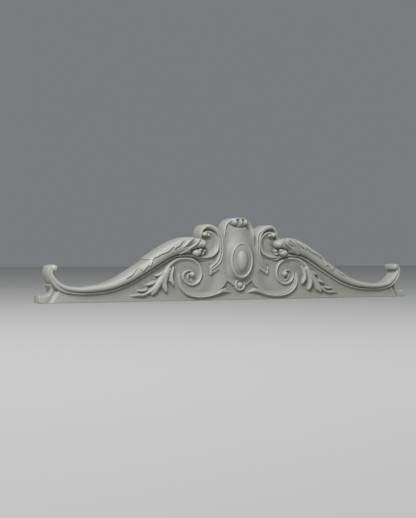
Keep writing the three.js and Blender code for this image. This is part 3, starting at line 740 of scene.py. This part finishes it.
# %% Slide the edge corners onto the outline
x_all, z_all = (line.ravel().copy() for line in np.meshgrid(x_line, z_line))
x_rim, z_rim = x_all[rim], z_all[rim]
for _ in range(3):
    gx, gz = sample(slope_x, x_rim, z_rim), sample(slope_z, x_rim, z_rim)
    miss = sample(whole_outline, x_rim, z_rim) / np.maximum(gx**2 + gz**2, 0.3)
    miss = np.clip(miss, -CELL, CELL)
    x_rim = np.clip(x_rim - miss * gx, -HALF_LENGTH, HALF_LENGTH)
    z_rim = np.clip(z_rim - miss * gz, BOTTOM, TOP)
x_all[rim], z_all[rim] = x_rim, z_rim
depth_all = sample(whole_relief, x_all, z_all)

# %% Walls and mesh
front_used = np.unique(quads)
new_number = np.full(solid.size, -1)
new_number[front_used] = np.arange(len(front_used))
back_number = np.full(solid.size, -1)
back_number[rim] = len(front_used) + np.arange(len(rim))
a, b = edge_pairs.T
walls = np.stack([new_number[b], new_number[a], back_number[a], back_number[b]], axis=1)
front = np.stack([x_all[front_used], -depth_all[front_used], z_all[front_used]], axis=1)
back = np.stack([x_all[rim], np.zeros(len(rim)), z_all[rim]], axis=1)
points = np.vstack([front, back]) / 1000
faces = np.vstack([new_number[quads], walls])

raw = bpy.data.meshes.new("scroll_onlay_relief")
raw.from_pydata(points, [], faces.tolist())
shell = bmesh.new()
shell.from_mesh(raw)
opening = [e for e in shell.edges if e.is_boundary]
closed = bmesh.ops.holes_fill(shell, edges=opening, sides=0)
bmesh.ops.triangulate(shell, faces=closed["faces"])
print(f"volume {shell.calc_volume(signed=True) * 1000:.3f} litres, {len(shell.faces)} faces,",
      f"{sum(1 for e in shell.edges if not e.is_manifold)} open edges")
shell.to_mesh(raw)
shell.free()

# %% [markdown]
# ## Fewer faces where it is flat
#
# The grid spends as many faces on the flat field as on the leaves. A coarser grid would blunt the carving.
# Decimate merges faces where the surface hardly bends, so the carving keeps its fine cells inside the
# budget of faces.

# %% Thin the flat parts
TRIANGLE_BUDGET = 190000
SHARPEST = 50                          # degrees; a sharper fold than this keeps a hard edge
raw_onlay = bpy.data.objects.new("raw", raw)
bpy.context.scene.collection.objects.link(raw_onlay)
thin = raw_onlay.modifiers.new("thin flat parts", "DECIMATE")
thin.ratio = TRIANGLE_BUDGET / (2 * len(quads) + 2 * len(walls) + len(rim))
graph = bpy.context.evaluated_depsgraph_get()
mesh = bpy.data.meshes.new_from_object(raw_onlay.evaluated_get(graph))
bpy.data.objects.remove(raw_onlay)
mesh.name = "carved_onlay"
mesh.shade_smooth()
mesh.set_sharp_from_angle(angle=math.radians(SHARPEST))
onlay = bpy.data.objects.new("carved_onlay", mesh)
bpy.context.scene.collection.objects.link(onlay)
mesh.calc_loop_triangles()
print(f"{len(mesh.loop_triangles)} triangles kept")

# %% Hollows as an attribute for the painted shade and painted highlight
HOLLOW_RANGE = 5                       # millimetres from the highest ridge to the deepest hollow
place = np.empty(len(mesh.vertices) * 3, np.float32)
mesh.vertices.foreach_get("co", place)
place = place.reshape(-1, 3) * 1000
on_front = place[:, 1] < -1
hollow = np.where(on_front, sample(whole_hollows, place[:, 0], place[:, 2]), 0)
hollow = np.clip(0.5 + hollow / HOLLOW_RANGE, 0, 1)
mesh.attributes.new("hollow", "FLOAT", "POINT").data.foreach_set("value", hollow.astype(np.float32))
print(f"hollow attribute from {hollow.min():.2f} to {hollow.max():.2f}")

# %% [markdown]
# ## The paint, with painted shade and painted highlight
#
# The casting is painted a matt, slightly greenish grey, and the brushed paint has a fine orange-peel surface.
# The hollows are painted darker, as painted shade, and the ridges paler, as a painted highlight.
# Blender's own Pointiness could tell hollows from ridges, but it depends on the
# faces. The attribute was worked out from the relief itself, so it doesn't. The shader reads it
# and Object coordinates, and its maths is written as Python expressions on sockets.


# %% Sockets that take part in arithmetic
class Value:
    """A shader socket. An expression on values adds the Math nodes that it needs."""

    def __init__(self, tree, socket):
        self.tree = tree
        self.socket = socket

    def _with(self, operation, first, second):
        return make(self.tree, "ShaderNodeMath", {"operation": operation}, {0: first, 1: second})

    def __add__(self, other):
        return self._with("ADD", self, other)

    def __mul__(self, other):
        return self._with("MULTIPLY", self, other)

    def __sub__(self, other):
        return self._with("SUBTRACT", self, other)

    def __rsub__(self, other):
        return self._with("SUBTRACT", other, self)

    __radd__ = __add__
    __rmul__ = __mul__


def make(tree, kind, settings, inputs, output=0):
    """Adds a node: its settings first, then the value or link of each socket. Returns one output."""
    node = tree.nodes.new(kind)
    for name, setting in settings.items():
        setattr(node, name, setting)
    for name, given in inputs.items():
        if isinstance(given, Value):
            tree.links.new(given.socket, node.inputs[name])
        else:
            node.inputs[name].default_value = given
    return Value(tree, node.outputs[output])


# %% The painted surface
# The darker colour below is painted shade for the hollows, and the paler one is a painted highlight for the
# ridges.
PAINT = (0.345, 0.352, 0.315, 1)
HOLLOW_SHADE_PAINT = (0.16, 0.165, 0.145, 1)
RIDGE_HIGHLIGHT_PAINT = (0.46, 0.465, 0.425, 1)
MOTTLE_SCALE, BRUSH_SCALE, GRAIN_SCALE = 14.0, 160.0, 900.0


def cast_grey():
    """Paint mixed by the hollow attribute into painted shade in the hollows and a painted highlight on the
    ridges, with slow mottling and a fine orange-peel bump.
    """
    material = bpy.data.materials.new("cast_grey")
    material.use_nodes = True
    tree = material.node_tree
    shader = tree.nodes["Principled BSDF"]
    where = make(tree, "ShaderNodeTexCoord", {}, {}, "Object")
    hollow_share = make(tree, "ShaderNodeAttribute", {"attribute_name": "hollow"}, {}, "Fac")
    mixer = {"data_type": "RGBA", "clamp_factor": True}

    def noise(scale, detail):
        sockets = {"Vector": where, "Scale": scale, "Detail": detail}
        return make(tree, "ShaderNodeTexNoise", {}, sockets, "Fac")

    def mixed(share, first, second):
        return make(tree, "ShaderNodeMix", mixer, {0: share, 6: first, 7: second}, 2)

    mottle, grain, brushed = noise(MOTTLE_SCALE, 4.0), noise(GRAIN_SCALE, 3.0), noise(BRUSH_SCALE, 4.0)
    # painted shade: the paint is darker where the relief is hollow, broken up by the mottling
    painted_shade_share = (hollow_share - 0.5) * 1.9 + (mottle - 0.5) * 0.35
    # painted highlight: the paint is paler where the relief is a ridge, broken up by the brushed noise
    painted_highlight_share = (0.5 - hollow_share) * 2.0 + (brushed - 0.5) * 0.4
    colour = mixed(painted_shade_share, PAINT, HOLLOW_SHADE_PAINT)
    colour = mixed(painted_highlight_share, colour, RIDGE_HIGHLIGHT_PAINT)
    tree.links.new(colour.socket, shader.inputs["Base Color"])
    roughness = 0.5 + (mottle - 0.5) * 0.16 + (hollow_share - 0.5) * 0.2
    tree.links.new(roughness.socket, shader.inputs["Roughness"])
    peel = brushed * 0.7 + grain * 0.3
    bump_inputs = {"Strength": 0.35, "Distance": 0.0006, "Height": peel}
    tree.links.new(make(tree, "ShaderNodeBump", {}, bump_inputs, "Normal").socket, shader.inputs["Normal"])
    return material


mesh.materials.append(cast_grey())
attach(onlay, "root")
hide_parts(NODE)
print(f"{len(mesh.materials[0].node_tree.nodes)} nodes mix the paint")

# %% [markdown]
# ## Floor, light and camera
#
# The stage is a plain pale floor under the straight lower edge. A relief is read by its shadows, so one soft
# lamp stands to the upper left. A second, far and wide in the same direction, lights the ground evenly,
# and a weak one near the camera opens the shadows. The camera stands level with the middle of the onlay
# and looks at it from its left, through a long lens that keeps both ends nearly the same size.

# %% Floor
FLOOR_REACH = 12.0                     # metres to each side
FLOOR_GREY = (0.46, 0.46, 0.455, 1)
floor_mesh = bpy.data.meshes.new("floor")
corners = [(x * FLOOR_REACH, y * FLOOR_REACH, BOTTOM / 1000) for x, y in ((-1, -1), (1, -1), (1, 1), (-1, 1))]
floor_mesh.from_pydata(corners, [], [(0, 1, 2, 3)])
floor = bpy.data.objects.new("floor", floor_mesh)
bpy.context.scene.collection.objects.link(floor)
pale = bpy.data.materials.new("pale_floor")
pale.use_nodes = True
pale_shader = pale.node_tree.nodes["Principled BSDF"]
pale_shader.inputs["Base Color"].default_value = FLOOR_GREY
pale_shader.inputs["Roughness"].default_value = 0.8
floor_mesh.materials.append(pale)
print(f"floor at {BOTTOM:.0f} mm")

# %% Light
world = bpy.data.worlds.new("studio")
bpy.context.scene.world = world
world.use_nodes = True
world.node_tree.nodes["Background"].inputs["Color"].default_value = (0.86, 0.88, 0.92, 1)
world.node_tree.nodes["Background"].inputs["Strength"].default_value = 0.225
bpy.context.scene.view_settings.view_transform = "Standard"


def soft_light(name, place, size, power):
    """A square lamp of that size in metres, turned from its place towards the origin."""
    lamp = bpy.data.lights.new(name, "AREA")
    lamp.shape = "SQUARE"
    lamp.size = size
    lamp.energy = power
    lamp_object = bpy.data.objects.new(name, lamp)
    bpy.context.scene.collection.objects.link(lamp_object)
    lamp_object.location = place
    lamp_object.rotation_euler = lamp_object.location.to_track_quat("Z", "Y").to_euler()
    print(f"{name}: {power} W from {lamp_object.location.length:.2f} m")


soft_light("key", (-1.5, -1.8, 2.2), 0.8, 58)
soft_light("far key", (-18, -21.6, 26.4), 9.6, 4600)
soft_light("fill", (-2.4, -2.6, 0.4), 1.2, 6)

# %% Camera
EYE = (-1.604, -2.609, 0.0)
LOOK = (0.5066, 0.8622, 0.0)
LENS, SENSOR = 82.4, 36                # millimetres
camera_data = bpy.data.cameras.new("camera")
camera_data.lens = LENS
camera_data.sensor_width = SENSOR
camera = bpy.data.objects.new("camera", camera_data)
bpy.context.scene.collection.objects.link(camera)
camera.location = EYE
camera.rotation_euler = (math.pi / 2, 0, -math.atan2(LOOK[0], LOOK[1]))
bpy.context.scene.camera = camera
print("camera at", EYE)

# %% Finish
bpy.context.view_layer.update()
